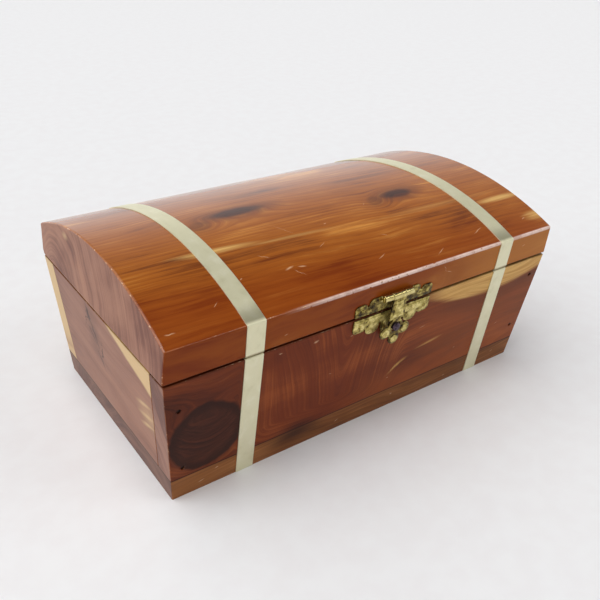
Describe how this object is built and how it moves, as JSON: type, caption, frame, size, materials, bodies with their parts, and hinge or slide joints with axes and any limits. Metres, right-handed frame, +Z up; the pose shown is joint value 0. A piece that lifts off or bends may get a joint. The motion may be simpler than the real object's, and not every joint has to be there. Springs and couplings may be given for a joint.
{
  "type": "keepsake chest",
  "caption": "Table-top cedar chest with sloping walls, a domed lid on stop hinges, flat brass bands and a trunk latch with a swinging hasp.",
  "frame": {"origin": "middle of the flat face that the chest stands on", "axes": "+X along the chest to its right, +Y towards its back (the latch is at the front, -Y), +Z up"},
  "size_m": [0.2408, 0.153, 0.1047],
  "materials": {
    "cedar_lid": "varnished, glossy, red cedar with knots and pale sapwood streaks",
    "cedar_front": "varnished red cedar with a dark knot and swirling grain",
    "cedar_back": "varnished red cedar",
    "cedar_end": "varnished red cedar, duller",
    "cedar_foot": "varnished red cedar, lighter brown",
    "strap_brass": "pale champagne brass strip, satin, lightly scratched",
    "antique_brass": "stamped brass with dark olive patina",
    "hinge_brass": "aged brass",
    "tack_brass": "brass-plated",
    "dark_metal": "blackened, with polished highlights",
    "nail_steel": "darkened steel"
  },
  "bodies": {
    "chest": {"bottom_board": "cedar_foot", "front_panel": "cedar_front", "back_panel": "cedar_back", "left_end_panel": "cedar_end", "right_end_panel": "cedar_end", "front_panel_nails": "nail_steel", "back_panel_nails": "nail_steel", "bottom_nails": "nail_steel", "left_front_strap": "strap_brass", "right_front_strap": "strap_brass", "left_back_strap": "strap_brass", "right_back_strap": "strap_brass", "body_strap_tacks": "tack_brass", "latch_lower_plate": "antique_brass", "latch_stud": "dark_metal", "latch_lower_nails": "antique_brass", "left_hinge_body_leaf": "hinge_brass", "right_hinge_body_leaf": "hinge_brass", "left_hinge_pin": "hinge_brass", "right_hinge_pin": "hinge_brass", "hinge_body_nails": "hinge_brass"},
    "lid": {"lid": "cedar_lid", "left_lid_strap": "strap_brass", "right_lid_strap": "strap_brass", "lid_strap_tacks": "tack_brass", "latch_upper_plate": "antique_brass", "latch_pin": "antique_brass", "latch_upper_nails": "antique_brass", "left_hinge_lid_leaf": "hinge_brass", "right_hinge_lid_leaf": "hinge_brass", "hinge_lid_nails": "hinge_brass"},
    "hasp": {"latch_hasp": "antique_brass"}
  },
  "joints": [
    {"name": "lid_hinge", "type": "hinge", "parent": "chest", "child": "lid", "pos_m": [0, 0.0726, 0.0715], "axis": [-1, 0, 0], "range_deg": [0, 100]},
    {"name": "hasp_hinge", "type": "hinge", "parent": "lid", "child": "hasp", "pos_m": [0.0042, -0.07317, 0.07939], "axis": [-1, 0, 0], "range_deg": [0, 165]}
  ]
}
